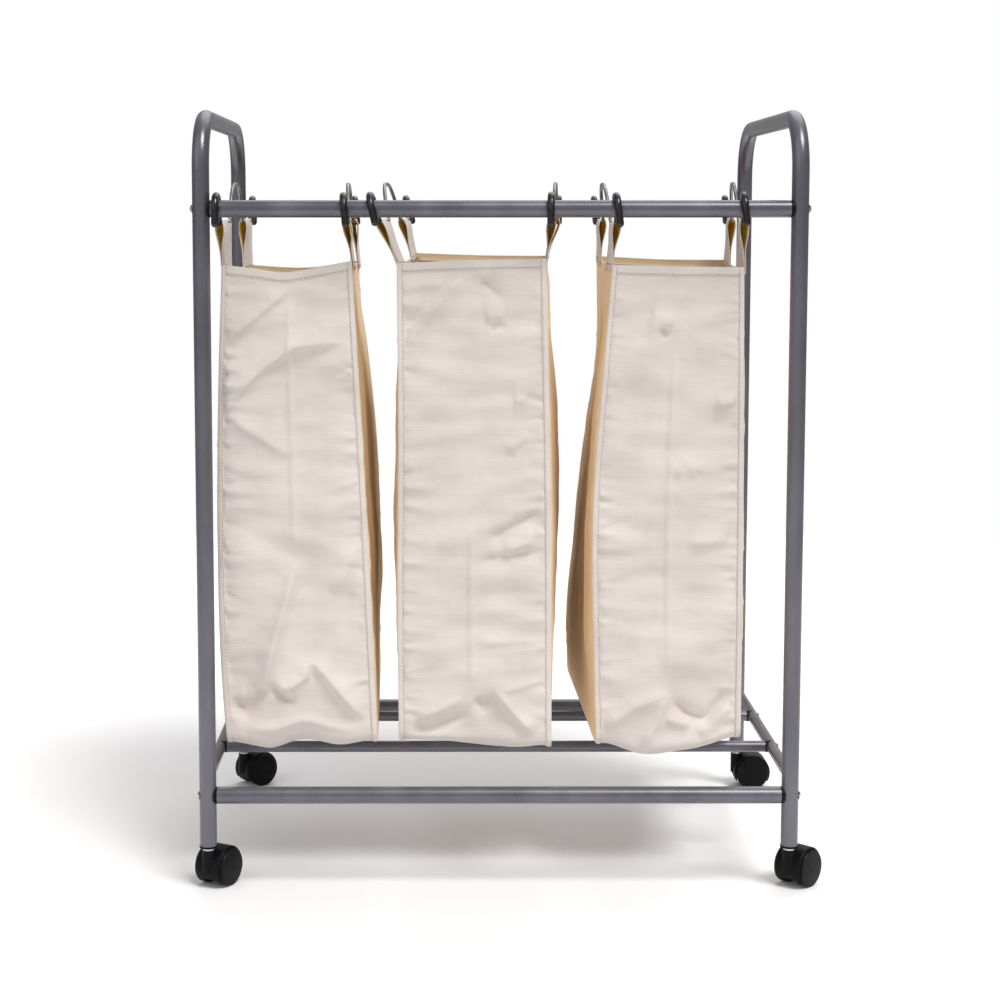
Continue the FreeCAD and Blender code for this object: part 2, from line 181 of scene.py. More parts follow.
# ==== folds in the canvas =============================================================
def fold(height, near, far, *points):
    """A fold along points: it falls away over near millimetres on its first side, far on the other."""
    return {"height": height, "near": near, "far": far, "points": points}


def fold_relief(item, u, v, width, length):
    """How far one fold lifts the cloth."""
    points = [(a * width, b * length) for a, b in item["points"]]
    signed, place = line_distance(points, u * width, v * length)
    reach = np.where(signed > 0, item["near"], item["far"])
    rounding = 0.8
    gap = np.sqrt((signed / reach) ** 2 + (rounding / reach) ** 2) - rounding / reach
    fade = smooth(place / 0.30 + 0.14) * smooth((1 - place) / 0.30 + 0.14)
    return FOLD_GAIN * item["height"] * np.exp(-gap ** 1.25) * fade


def pucker_relief(side, at, height, reach, u, v, width, length, tilt=0.1):
    """A gather that starts at a seam and dies out towards the middle of the panel."""
    inward = (u if side == "left" else 1 - u) * width - SEAM_BAND
    across = (v - at) * length - tilt * inward
    spread = 2.6 + 0.10 * np.clip(inward, 0, None)
    rise = smooth(inward / 3.0) * np.exp(-np.clip(inward, 0, None) / reach)
    return GATHER_GAIN * height * rise * np.exp(-(across / spread) ** 2)


# Folds seen in each front panel. Heights and widths in millimetres.
FRONT_FOLDS = {
    1: [
        fold(2.0, 16, 3.5, (0.53, 0.03), (0.24, 0.11), (0.02, 0.17)),
        fold(2.4, 20, 3.5, (0.95, 0.16), (0.54, 0.17), (0.26, 0.23), (0.02, 0.30)),
        fold(1.6, 6, 12, (0.02, 0.305), (0.52, 0.40)),
        fold(0.9, 2.2, 2.2, (0.51, 0.03), (0.51, 0.61)),
        fold(3.8, 9, 6, (0.53, 0.607), (0.40, 0.75), (0.25, 0.895)),
        fold(-3.6, 7, 8, (0.05, 0.91), (0.14, 0.937), (0.30, 0.88)),
        fold(3.4, 3, 10, (0.58, 0.82), (0.75, 0.885), (0.93, 0.956)),
        fold(2.8, 9, 3, (0.58, 0.82), (0.55, 0.86), (0.43, 0.885), (0.30, 0.874)),
        fold(-2.4, 3, 4, (0.30, 0.874), (0.47, 0.926)),
        fold(1.8, 8, 8, (0.93, 0.59), (0.75, 0.69)),
        fold(-1.8, 7, 9, (0.88, 0.675), (0.79, 0.77)),
        fold(2.2, 10, 6, (0.12, 0.965), (0.55, 0.955), (0.92, 0.975)),
    ],
    2: [
        fold(2.4, 3, 14, (0.48, 0.01), (0.36, 0.053), (0.19, 0.105), (0.09, 0.14), (0.04, 0.184)),
        fold(1.6, 12, 10, (0.58, 0.115), (0.72, 0.11)),
        fold(-1.4, 4, 4, (0.60, 0.137), (0.73, 0.132)),
        fold(-1.5, 4, 5, (0.55, 0.04), (0.70, 0.078)),
        fold(1.4, 9, 9, (0.76, 0.28), (0.86, 0.28)),
        fold(1.3, 4, 8, (0.71, 0.39), (0.87, 0.35)),
        fold(-2.6, 5, 9, (0.94, 0.51), (0.76, 0.545), (0.58, 0.57)),
        fold(2.4, 9, 8, (0.90, 0.575), (0.68, 0.592)),
        fold(-2.0, 6, 7, (0.94, 0.595), (0.50, 0.62)),
        fold(0.9, 2.2, 2.2, (0.48, 0.52), (0.48, 0.90)),
        fold(0.9, 2.5, 4, (0.51, 0.79), (0.94, 0.787)),
        fold(1.0, 2.5, 4, (0.66, 0.89), (0.94, 0.87)),
        fold(-2.6, 5, 5, (0.50, 0.905), (0.56, 0.925), (0.62, 0.905)),
        fold(3.0, 3, 9, (0.62, 0.885), (0.74, 0.93), (0.90, 0.98)),
        fold(-2.4, 4, 8, (0.07, 0.985), (0.28, 0.965), (0.48, 0.937)),
        fold(1.8, 9, 5, (0.10, 0.955), (0.42, 0.905)),
    ],
    3: [
        fold(2.0, 16, 14, (0.30, 0.10), (0.50, 0.115)),
        fold(-1.8, 4, 6, (0.40, 0.128), (0.44, 0.155)),
        fold(0.9, 2.2, 2.2, (0.50, 0.13), (0.50, 0.87)),
        fold(1.5, 4, 10, (0.80, 0.292), (0.95, 0.284)),
        fold(1.6, 12, 9, (0.50, 0.435), (0.60, 0.41), (0.72, 0.43)),
        fold(1.5, 6, 8, (0.62, 0.58), (0.90, 0.57)),
        fold(3.8, 9, 5, (0.03, 0.966), (0.26, 0.912), (0.51, 0.89)),
        fold(-3.2, 7, 5, (0.51, 0.905), (0.64, 0.935), (0.76, 0.945), (0.92, 0.89)),
        fold(2.8, 6, 8, (0.51, 0.89), (0.42, 0.94), (0.31, 0.99)),
        fold(2.4, 4, 6, (0.47, 0.935), (0.66, 0.955)),
        fold(2.2, 8, 8, (0.70, 0.975), (0.93, 0.925)),
    ],
}
# Strong gathers beside the two vertical seams of each front panel: side, v, height, reach.
FRONT_PUCKERS = {
    1: [("left", 0.185, 1.0, 16), ("left", 0.216, 0.9, 14), ("left", 0.25, 1.6, 26),
        ("left", 0.29, 1.8, 30), ("left", 0.47, 1.3, 22), ("left", 0.50, 1.1, 20),
        ("left", 0.72, 0.9, 14), ("right", 0.36, 0.9, 16), ("right", 0.52, 1.0, 16)],
    2: [("left", 0.46, 1.1, 20), ("left", 0.50, 1.2, 22), ("left", 0.62, 1.3, 24),
        ("left", 0.72, 1.0, 18), ("left", 0.80, 1.2, 20), ("left", 0.86, 1.2, 22),
        ("left", 0.90, 1.0, 16), ("right", 0.33, 1.1, 18), ("right", 0.36, 1.0, 18),
        ("right", 0.48, 1.3, 20), ("right", 0.51, 1.2, 20), ("right", 0.56, 1.1, 16),
        ("right", 0.66, 1.0, 16), ("right", 0.74, 1.0, 16), ("right", 0.80, 1.1, 18),
        ("right", 0.87, 1.1, 18)],
    3: [("left", 0.48, 1.2, 20), ("left", 0.56, 1.3, 22), ("left", 0.59, 1.2, 20),
        ("left", 0.67, 1.3, 22), ("left", 0.71, 1.2, 20), ("left", 0.80, 1.1, 18),
        ("left", 0.86, 1.2, 18), ("right", 0.33, 1.0, 16), ("right", 0.47, 0.9, 16),
        ("right", 0.62, 1.0, 16), ("right", 0.78, 1.1, 18)],
}
# How each vertical edge bows away from the straight line of the frame's panel: (v, x).
EDGE_BOW = {
    (1, "left", "front"): [(0, 0), (0.3, -5.5), (0.6, -7.5), (0.85, -5), (1, 0)],
    (1, "left", "rear"): [(0, 0), (0.5, -2), (1, 0)],
    (1, "right", "front"): [(0, 0.5), (0.5, 5), (1, 7)],
    (1, "right", "rear"): [(0, 0), (0.06, -1.5), (0.22, 5), (0.42, 11), (0.6, 11), (0.72, 9), (0.87, 4),
                           (1, 3)],
    (2, "left", "front"): [(0, 0), (0.4, 0.8), (0.7, -0.8), (1, 0)],
    (2, "left", "rear"): [(0, 0), (0.5, -5), (1, 0)],
    (2, "right", "front"): [(0, 0), (0.5, 1.8), (1, 0)],
    (2, "right", "rear"): [(0, 0), (0.1, -1.5), (0.35, 9.5), (0.55, 8.5), (0.74, 1), (1, 0)],
    (3, "left", "front"): [(0, 0), (0.2, -5), (0.5, -11.5), (0.8, -6), (1, 0)],
    (3, "left", "rear"): [(0, 0), (0.23, 7.5), (0.37, 5), (0.47, 2), (0.62, -2), (0.86, -6), (1, 0)],
    (3, "right", "front"): [(0, 0), (0.5, 1), (1, 0)],
    (3, "right", "rear"): [(0, 0), (0.5, 3), (1, 0)],
}
# How far the top and bottom edges leave the level: (u, z).
TOP_LINE = {
    (1, "front"): [(0, -1), (0.25, -5), (0.5, -9), (0.56, -8), (0.8, -2), (1, 3)],
    (1, "rear"): [(0, -10), (0.5, -13), (1, -5)],
    (2, "front"): [(0, 0.7), (0.5, 3.8), (1, 5.4)],
    (2, "rear"): [(0, 4.5), (0.5, 2), (1, 1)],
    (3, "front"): [(0, -1), (0.5, -2.9), (1, -3.4)],
    (3, "rear"): [(0, 1), (0.5, -3), (1, -4)],
}
LOW_LINE = {
    (1, "front"): [(0, 0), (0.12, -3), (0.3, -7), (0.5, 0.5), (0.72, -3.3), (1, 0)],
    (1, "rear"): [(0, 4), (0.4, -3), (1, 8)],
    (2, "front"): [(0, 2), (0.3, -3), (0.7, -4.5), (1, -6)],
    (2, "rear"): [(0, 2), (0.5, -3), (1, 3)],
    (3, "front"): [(0, -2), (0.26, -13.5), (0.5, -10), (0.72, -8), (1, 5.5)],
    (3, "rear"): [(0, 0), (0.5, -5), (1, 2)],
}
# Outward billow of each gusset: height, then where its top lies (w along the depth, v down).
GUSSET_BILLOW = {
    (1, "left"): (1.0, 0.5, 0.55), (1, "right"): (3.0, 0.55, 0.5),
    (2, "left"): (9.0, 0.5, 0.55), (2, "right"): (5.0, 0.5, 0.45),
    (3, "left"): (5.0, 0.5, 0.7), (3, "right"): (8.0, 0.5, 0.55),
}
FLOOR_SAG = 7.0
# Unevenness of a front or rear panel: height and size of its swells, ripples and crinkles.
PANEL_BILLOW = 4.0
SWELLS = (5.2, 62.0)
RIPPLES = (3.0, 24.0)
CRINKLES = (0.35, 9.0)
DRAG = np.array((0.5, 1.0, 1.25))     # ripples are longer across the panel than down it
PANEL_GATHERS = 1.3
GUSSET_GATHERS = 0.8


# ==== bag surfaces ====================================================================
def read_bag(number):
    """Everything about one bag that the frame settles."""
    name = "bag_" + str(number)
    low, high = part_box(name + "_wrap")
    return {
        "number": number,
        "name": name,
        "edges": {"left": panel_corners(name + "_side_left", -1),
                  "right": panel_corners(name + "_side_right", 1)},
        "front": low.y / MM,
        "rear": high.y / MM,
        "top": high.z / MM,
        "low": low.z / MM,
        "wires": {"left": wire_ends(name + "_hanger_left"), "right": wire_ends(name + "_hanger_right")},
    }


def edge_x(bag, side, end, v):
    """Where a vertical edge of a panel lies: the frame's straight line and its bow."""
    top, low = bag["edges"][side][end]
    return top + (low - top) * v + through(EDGE_BOW[bag["number"], side, end], v)


def roll_out(distance, straight):
    """Down a panel and round the fold at its foot: how far in, how far down, and the turn so far."""
    turn = np.clip((distance - straight) / ROLL, 0, math.pi / 4)
    inward = ROLL * (1 - np.cos(turn))
    down = np.minimum(distance, straight) + ROLL * np.sin(turn)
    return inward, down, turn


def panel_base(bag, end, v, u):
    """Points and outward normals of a smooth front or rear panel."""
    straight = bag["top"] - bag["low"] - ROLL
    inward, down, turn = roll_out(v * (straight + ROLL * math.pi / 4), straight)
    outward = -1 if end == "front" else 1
    left = edge_x(bag, "left", end, v)
    right = edge_x(bag, "right", end, v)
    key = (bag["number"], end)
    rise = through(TOP_LINE[key], u) * (1 - smooth(v / 0.22))
    rise = rise + through(LOW_LINE[key], u) * smooth((v - 0.84) / 0.16)
    points = np.stack([left + (right - left) * u, bag[end] - outward * inward, bag["top"] - down + rise], -1)
    normals = np.stack([np.zeros(u.shape), outward * np.cos(turn), -np.sin(turn)], -1)
    return points, normals


def floor_base(bag, w, u):
    """Points and outward normals of the floor, from the front fold to the rear one."""
    depth = bag["rear"] - bag["front"]
    quarter = ROLL * math.pi / 4
    distance = w * (depth - 2 * ROLL + 2 * quarter)
    far = (1 - w) * (depth - 2 * ROLL + 2 * quarter)
    turn_front = math.pi / 4 + np.clip(distance / ROLL, 0, math.pi / 4)
    turn_rear = math.pi / 4 + np.clip(far / ROLL, 0, math.pi / 4)
    lift = ROLL * (1 - np.sin(np.minimum(turn_front, turn_rear)))
    y_front = bag["front"] + ROLL * (1 - np.cos(turn_front)) + np.clip(distance - quarter, 0, None)
    y_rear = bag["rear"] - ROLL * (1 - np.cos(turn_rear)) - np.clip(far - quarter, 0, None)
    y = np.where(w < 0.5, y_front, y_rear)
    sides = []
    for side in ("left", "right"):
        front_x = edge_x(bag, side, "front", 1.0)
        rear_x = edge_x(bag, side, "rear", 1.0)
        sides.append(front_x + (rear_x - front_x) * w)
    left, right = sides
    number = bag["number"]
    ends = through(LOW_LINE[number, "front"], u) * (1 - smooth(w / 0.4))
    ends = ends + through(LOW_LINE[number, "rear"], u) * smooth((w - 0.6) / 0.4)
    sag = FLOOR_SAG * np.sin(math.pi * u) * np.sin(math.pi * w)
    points = np.stack([left + (right - left) * u, y, bag["low"] + lift + ends - sag], -1)
    tilt = np.where(w < 0.5, -np.cos(turn_front), np.cos(turn_rear))
    normals = np.stack([np.zeros(u.shape), tilt, -np.sqrt(1 - tilt ** 2)], -1)
    return points, normals


def spaced(length, step, start=(), finish=()):
    """Distances from 0 to length: close rows at each end as given, even steps between."""
    low = start[-1] if start else 0.0
    high = length - (finish[-1] if finish else 0.0)
    count = max(2, int(round((high - low) / step)))
    middle = list(np.linspace(low, high, count + 1))
    head = list(start[:-1])
    tail = [length - distance for distance in reversed(finish[:-1])]
    return np.array(head + middle + tail)


SEAM_ROWS = (0.0, 0.5, 1.4, 2.8, 4.2, 5.0, 5.6, 6.3, 7.4, 9.0)
HEM_ROWS = (0.0, 0.4, 1.2, 3.0, 5.5, 7.6, 8.6, 9.3, 10.0, 10.7, 12.0)


def seam_profile(distance):
    """Height of the pressed seam band and of the needle line inside it."""
    band = BAND_RISE * smooth((distance + 0.6) / 1.6) * (1 - smooth((distance - SEAM_BAND) / 0.9))
    needle = -0.55 * np.exp(-((distance - SEAM_BAND - 0.2) / 0.8) ** 2)
    return band + needle


def hem_profile(distance):
    """Height of the folded hem and of the needle line near its foot."""
    band = HEM_RISE * (1 - smooth((distance - HEM) / 0.8))
    needle = -0.8 * np.exp(-((distance - HEM + 1.0) / 0.8) ** 2)
    lip = -0.5 * np.exp(-(distance / 0.5) ** 2)
    return band + needle + lip


def small_gathers(bag, salt, u, v, width, length, amount):
    """Many small gathers along both vertical seams, the same on every run."""
    dice = np.random.default_rng(bag["number"] * 10 + salt)
    relief = np.zeros(u.shape)
    for side in ("left", "right"):
        at = 0.03
        while at < 0.97:
            height = amount * dice.uniform(-1.0, 1.0)
            reach = dice.uniform(6, 24)
            tilt = dice.uniform(-0.4, 0.4)
            relief += pucker_relief(side, at, height, reach, u, v, width, length, tilt)
            at += dice.uniform(0.012, 0.032)
    return relief


def panel_relief(bag, end, v, u, points, width, length):
    """How far a front or rear panel stands out from its smooth base."""
    number = bag["number"]
    inside = smooth(np.minimum(u, 1 - u) * width / 14)
    billow = PANEL_BILLOW * np.sin(math.pi * u) ** 0.8 * np.sin(math.pi * np.clip(v, 0, 1)) ** 0.7
    relief = billow + SWELLS[0] * noise_field(points, SWELLS[1], number) * inside
    relief += RIPPLES[0] * noise_field(points * DRAG, RIPPLES[1], number + 4) * inside
    relief += CRINKLES[0] * noise_field(points, CRINKLES[1], number + 7) * inside
    folds, puckers = [], []
    if end == "front":
        folds, puckers = FRONT_FOLDS[number], FRONT_PUCKERS[number]
    else:
        other = number % 3 + 1
        for item in FRONT_FOLDS[other]:
            mirrored = [(1 - a, b) for a, b in item["points"]]
            folds.append(fold(item["height"] * 0.8, item["far"], item["near"], *mirrored))
        puckers = FRONT_PUCKERS[other]
    for item in folds:
        relief += fold_relief(item, u, v, width, length) * inside
    for side, at, height, reach in puckers:
        relief += pucker_relief(side, at, height, reach, u, v, width, length)
    relief += small_gathers(bag, 1 if end == "front" else 2, u, v, width, length, PANEL_GATHERS)
    below_hem = smooth((v * length - HEM - 1) / 14)
    return relief * below_hem


def wrap_grid(bag):
    """The wrap as one strip of points: down the front, along the floor, up the rear."""
    straight = bag["top"] - bag["low"] - ROLL
    length = straight + ROLL * math.pi / 4
    width = edge_x(bag, "right", "front", 0.5) - edge_x(bag, "left", "front", 0.5)
    across = spaced(width, GRID_FINE, SEAM_ROWS, SEAM_ROWS) / width
    down = spaced(length, GRID_FINE, HEM_ROWS) / length
    depth = bag["rear"] - bag["front"]
    floor_rows = spaced(depth, GRID_COARSE) / depth
    strips = []
    for end in ("front", "rear"):
        v, u = np.meshgrid(down, across, indexing="ij")
        points, normals = panel_base(bag, end, v, u)
        edge = np.minimum(u, 1 - u) * width
        height = panel_relief(bag, end, v, u, points, width, length)
        height = height + np.maximum(seam_profile(edge), hem_profile(v * length))
        height = height + hem_joint(end, u, v, width, length)
        strips.append(points + normals * height[..., None])
    w, u = np.meshgrid(floor_rows, across, indexing="ij")
    points, normals = floor_base(bag, w, u)
    edge = np.minimum(u, 1 - u) * width
    height = seam_profile(edge) + 1.2 * noise_field(points, 40.0, bag["number"]) * smooth(edge / 12)
    floor = points + normals * height[..., None]
    # Where the floor meets a panel, the panel's own last row is kept and the relief runs out.
    for strip, row, step in ((strips[0], 0, 1), (strips[1], -1, -1)):
        gap = strip[-1] - floor[row]
        for k in range(5):
            floor[row + step * k] += gap * (1 - smooth(k / 5))
    grid = np.concatenate([strips[0], floor[1:-1], strips[1][::-1]])
    cloth_y = np.concatenate([down * length, length + floor_rows[1:-1] * depth,
                              length + depth + (1 - down[::-1]) * length])
    sheet_x, sheet_y = np.meshgrid(across * width, cloth_y)
    hem_rows = np.concatenate([down * length, np.full(len(floor_rows) - 2, 99.0), down[::-1] * length])
    return {"grid": grid, "cloth": np.stack([sheet_x, sheet_y], -1), "down": down, "across": across,
            "width": width, "length": length, "hem_rows": hem_rows}


def hem_joint(end, u, v, width, length):
    """The fold where the hem's two ends meet, in the middle of the front edge."""
    if end == "rear":
        return np.zeros(u.shape)
    beside = np.abs((u - 0.5) * width)
    inside = 1 - smooth((v * length - HEM) / 1.0)
    return 0.7 * inside * (np.exp(-((beside - 2.5) / 1.6) ** 2) - 0.6 * np.exp(-(beside / 0.8) ** 2))


def gusset_top(bag, side, w):
    """The gusset's top edge, from the front seam to the rear one."""
    edge = np.full(w.shape, 0.0 if side == "left" else 1.0)
    front, _ = panel_base(bag, "front", np.zeros(w.shape), edge)
    rear, _ = panel_base(bag, "rear", np.zeros(w.shape), edge)
    line = front + (rear - front) * w[..., None]
    line[..., 2] -= 3.0 * np.sin(math.pi * w) ** 2
    return line


def gusset_grid(bag, side):
    """One side panel, stretched between the wrap's edge and the top line."""
    outward = -1 if side == "left" else 1
    u_edge = 0.0 if side == "left" else 1.0
    length = bag["top"] - bag["low"]
    depth = bag["rear"] - bag["front"]
    columns = spaced(depth, GRID_FINE * 1.5) / depth
    rows = spaced(length, GRID_FINE * 1.5, (0.0, 1.0, 3.0, 6.0)) / length
    v, w = np.meshgrid(rows, columns, indexing="ij")
    edge = np.full(v.shape, u_edge)
    front, _ = panel_base(bag, "front", v, edge)
    rear, _ = panel_base(bag, "rear", v, edge)
    top = gusset_top(bag, side, w)
    bottom, _ = floor_base(bag, w, edge)
    corner = {}
    for end in ("front", "rear"):
        for level, row in (("top", 0.0), ("low", 1.0)):
            corner[end, level] = panel_base(bag, end, np.array(row), np.array(u_edge))[0]
    W, V = w[..., None], v[..., None]
    sides = front * (1 - W) + rear * W
    ends = top * (1 - V) + bottom * V
    bilinear = ((corner["front", "top"] * (1 - W) + corner["rear", "top"] * W) * (1 - V)
                + (corner["front", "low"] * (1 - W) + corner["rear", "low"] * W) * V)
    grid = sides + ends - bilinear
    height, w_top, v_top = GUSSET_BILLOW[bag["number"], side]
    window = (np.sin(math.pi * w ** (math.log(0.5) / math.log(w_top))) ** 0.9
              * np.sin(math.pi * v ** (math.log(0.5) / math.log(v_top))) ** 0.8)
    relief = height * window + gusset_folds(bag, side, v, w, depth, length, grid)
    grid[..., 0] += outward * relief
    return {"grid": grid, "cloth": np.stack([w * depth, v * length], -1)}


def gusset_folds(bag, side, v, w, depth, length, grid):
    """Soft upright folds, the crease of the gusset's middle, and gathers by its seams."""
    number = bag["number"] + (0 if side == "left" else 5)
    inside = smooth(np.minimum(np.minimum(w, 1 - w) * depth / 22, np.minimum(v, 1 - v) * length / 30))
    dice = np.random.default_rng(100 + number)
    relief = np.zeros(v.shape)
    for _ in range(7):
        at = dice.uniform(0.1, 0.9)
        drift = dice.uniform(-0.09, 0.09)
        start, stop = sorted(dice.uniform(0.0, 1.0, 2))
        item = fold(dice.uniform(0.6, 1.5) * dice.choice((-1, 1)), dice.uniform(9, 20), dice.uniform(9, 20),
                    (at, start * 0.6), (at + drift, 0.55 + stop * 0.42))
        relief += fold_relief(item, w, v, depth, length)
    relief += fold_relief(fold(-1.6, 3, 3, (0.5, 0.02), (0.5, 0.98)), w, v, depth, length)
    relief += 2.2 * noise_field(grid, 90.0, number)
    relief += 0.6 * noise_field(grid, 24.0, number + 3)
    relief *= inside
    relief += small_gathers(bag, 3 if side == "left" else 4, w, v, depth, length, GUSSET_GATHERS)
    return relief * smooth(np.minimum(w, 1 - w) * depth / 3 + 0.02)


# Half of a casing's section: half width in millimetres, and how far down from wire to foot.
CASING_SECTION = [(0.0, -0.062), (2.4, -0.045), (3.9, 0.03), (4.4, 0.13), (4.0, 0.26), (3.0, 0.40),
                  (1.9, 0.54), (1.15, 0.68), (0.95, 0.85), (1.0, 1.0), (1.1, 1.16)]


def casing_grid(bag, side, end):
    """A fabric tunnel over the wire, whose two plies come together above the gusset."""
    front, rear = bag["wires"][side]
    middle = (bag["front"] + bag["rear"]) / 2
    toward = -1 if end == "front" else 1
    half_depth = (bag["rear"] - bag["front"]) / 2
    stations = np.linspace(CASING_NEAR, CASING_FAR, 34)
    shape = CASING_SECTION[::-1] + [(-a, b) for a, b in CASING_SECTION[1:]]
    ys = middle + toward * stations
    share = (ys - front[1]) / (rear[1] - front[1])
    wire = front + (rear - front) * share[:, None]
    foot_w = (half_depth + toward * np.linspace(CASING_NEAR - 1, half_depth - 1.5, 34)) / (2 * half_depth)
    foot = gusset_top(bag, side, foot_w)
    seed = bag["number"] * 3 + (side == "right") + 2 * (end == "rear")
    grid = np.zeros((len(stations), len(shape), 3))
    for i in range(len(stations)):
        from_front = (ys[i] - ys.min()) / (ys.max() - ys.min())
        swell = CASING_MOUTH + (CASING_TAIL - CASING_MOUTH) * float(smooth(from_front))
        swell += 0.07 * math.sin(stations[i] * 0.31 + seed * 2)
        for j, (half, drop) in enumerate(shape):
            point = wire[i] + (foot[i] - wire[i]) * drop
            wave = 0.5 * math.sin(stations[i] * 0.16 + drop * 3 + seed) * smooth(drop)
            # Where the two plies meet, they stay their own thickness apart.
            closest = min(abs(half), CLOTH * 1.05)
            spread = math.copysign(max(abs(half) * swell, closest), half)
            grid[i, j] = point + np.array([spread + wave, 0.0, 0.0])
    cloth_x = np.array([drop for _, drop in shape])
    cloth_x = np.concatenate([[0], np.cumsum(np.abs(np.diff(cloth_x)))]) * 48.0
    a, b = np.meshgrid(cloth_x, stations)
    return {"grid": grid, "cloth": np.stack([b, a], -1)}


# ==== meshes ==========================================================================
def grid_faces(rows, columns, flip):
    """Quads of a grid; flip turns them to face the other way."""
    faces = []
    for i in range(rows - 1):
        for j in range(columns - 1):
            a = i * columns + j
            quad = (a, a + 1, a + columns + 1, a + columns)
            faces.append(quad[::-1] if flip else quad)
    return faces


def smooth_object(name, points, faces, materials):
    """A smooth-shaded mesh object in the scene."""
    mesh = bpy.data.meshes.new(name)
    mesh.from_pydata(points, [], faces)
    mesh.polygons.foreach_set("use_smooth", [True] * len(mesh.polygons))
    for material in materials:
        mesh.materials.append(material)
    piece = bpy.data.objects.new(name, mesh)
    bpy.context.scene.collection.objects.link(piece)
    return piece


def cloth_object(name, parts, materials, thickness=CLOTH):
    """Cloth from one or more point grids, with its weave laid out in metres."""
    points, faces, cloth, weights = [], [], [], []
    for part in parts:
        grid = part["grid"]
        rows, columns = grid.shape[:2]
        offset = len(points)
        points.extend((grid.reshape(-1, 3) * MM).tolist())
        cloth.extend((part["cloth"].reshape(-1, 2) * MM).tolist())
        for face in grid_faces(rows, columns, part["flip"]):
            faces.append(tuple(index + offset for index in face))
        weights.extend(part["plies"].reshape(-1).tolist() if "plies" in part else [0.5] * (rows * columns))
    piece = smooth_object(name, points, faces, materials)
    layer = piece.data.uv_layers.new(name="cloth")
    for loop in piece.data.loops:
        layer.data[loop.index].uv = cloth[loop.vertex_index]
    group = piece.vertex_groups.new(name="plies")
    for value in sorted(set(weights)):
        group.add([i for i, weight in enumerate(weights) if weight == value], value, "REPLACE")
    shell = piece.modifiers.new("plies", "SOLIDIFY")
    shell.thickness = thickness * 2 * MM
    shell.vertex_group = "plies"
    shell.offset = -1.0
    shell.material_offset = 1
    shell.material_offset_rim = 0
    return piece


def join_stitches(name, runs, material):
    """All the visible thread of a bag as one mesh of short, tapered stitches."""
    points, faces = [], []
    angles = np.linspace(0, 2 * math.pi, THREAD_SIDES + 1)[:-1]
    ring = [(math.cos(angle), math.sin(angle)) for angle in angles]
    for line, outward in runs:
        steps = np.linalg.norm(np.diff(line, axis=0), axis=1)
        reach = np.concatenate([[0], np.cumsum(steps)])
        at = STITCH_GAP
        while at + STITCH < reach[-1]:
            ends = [np.array([np.interp(s, reach, line[:, axis]) for axis in range(3)])
                    for s in (at, at + STITCH / 2, at + STITCH)]
            normal = np.array([np.interp(at, reach, outward[:, axis]) for axis in range(3)])
            normal = normal / np.linalg.norm(normal)
            along = ends[2] - ends[0]
            along = along / np.linalg.norm(along)
            side = np.cross(along, normal)
            offset = len(points)
            for centre, radius, rise in zip(ends, (0.55, 1.0, 0.55), (-0.1, 0.35, -0.1)):
                for a, b in ring:
                    aside = side * (a * THREAD_R * radius * THREAD_FLAT)
                    above = normal * (b * THREAD_R * radius + rise * THREAD_R)
                    points.append(((centre + aside + above) * MM).tolist())
            for band in range(2):
                for k in range(THREAD_SIDES):
                    a = offset + band * THREAD_SIDES + k
                    b = offset + band * THREAD_SIDES + (k + 1) % THREAD_SIDES
                    faces.append((a, b, b + THREAD_SIDES, a + THREAD_SIDES))
            faces.append(tuple(offset + k for k in reversed(range(THREAD_SIDES))))
            faces.append(tuple(offset + 2 * THREAD_SIDES + k for k in range(THREAD_SIDES)))
            at += STITCH + STITCH_GAP
    return smooth_object(name, points, faces, [material])


def grid_normals(grid, flip):
    """Outward direction at every point of a grid."""
    along = np.gradient(grid, axis=0)
    across = np.gradient(grid, axis=1)
    normals = np.cross(across, along) * (-1 if flip else 1)
    return normals / np.maximum(np.linalg.norm(normals, axis=-1, keepdims=True), 1e-9)


# ==== materials =======================================================================
def new_material(name, colour, roughness, metallic=0.0, **sockets):
    """A Principled material with its plain values set; returns it with its node tools."""
    material = bpy.data.materials.new(name)
    material.use_nodes = True
    nodes, links = material.node_tree.nodes, material.node_tree.links
    shader = nodes["Principled BSDF"]
    shader.inputs["Base Color"].default_value = (*colour, 1.0)
    shader.inputs["Roughness"].default_value = roughness
    shader.inputs["Metallic"].default_value = metallic
    for socket, value in sockets.items():
        shader.inputs[socket.replace("_", " ")].default_value = value
    return material, nodes, links, shader


def mapped(nodes, links, kind, scale, output="Object"):
    """A texture node on scaled object or cloth coordinates."""
    place = nodes.new("ShaderNodeTexCoord")
    mapping = nodes.new("ShaderNodeMapping")
    mapping.inputs["Scale"].default_value = scale
    links.new(place.outputs[output], mapping.inputs["Vector"])
    texture = nodes.new(kind)
    links.new(mapping.outputs["Vector"], texture.inputs["Vector"])
    return texture


def grain(nodes, links, scale, detail=3.0, output="Object"):
    """Noise as a factor, stretched by scale."""
    texture = mapped(nodes, links, "ShaderNodeTexNoise", scale, output)
    texture.inputs["Scale"].default_value = 1.0
    texture.inputs["Detail"].default_value = detail
    return texture.outputs["Fac"]


def ramp(nodes, links, factor, stops):
    """A colour ramp through (position, colour) stops."""
    node = nodes.new("ShaderNodeValToRGB")
    elements = node.color_ramp.elements
    while len(elements) < len(stops):
        elements.new(0.5)
    for element, (position, colour) in zip(elements, stops):
        element.position = position
        element.color = (*colour, 1.0)
    links.new(factor, node.inputs["Fac"])
    return node.outputs["Color"]


def ranged(nodes, links, factor, low, high, start=0.3, stop=0.7):
    """A factor turned into a value between low and high."""
    node = nodes.new("ShaderNodeMapRange")
    node.inputs["From Min"].default_value = start
    node.inputs["From Max"].default_value = stop
    node.inputs["To Min"].default_value = low
    node.inputs["To Max"].default_value = high
    links.new(factor, node.inputs["Value"])
    return node.outputs["Result"]


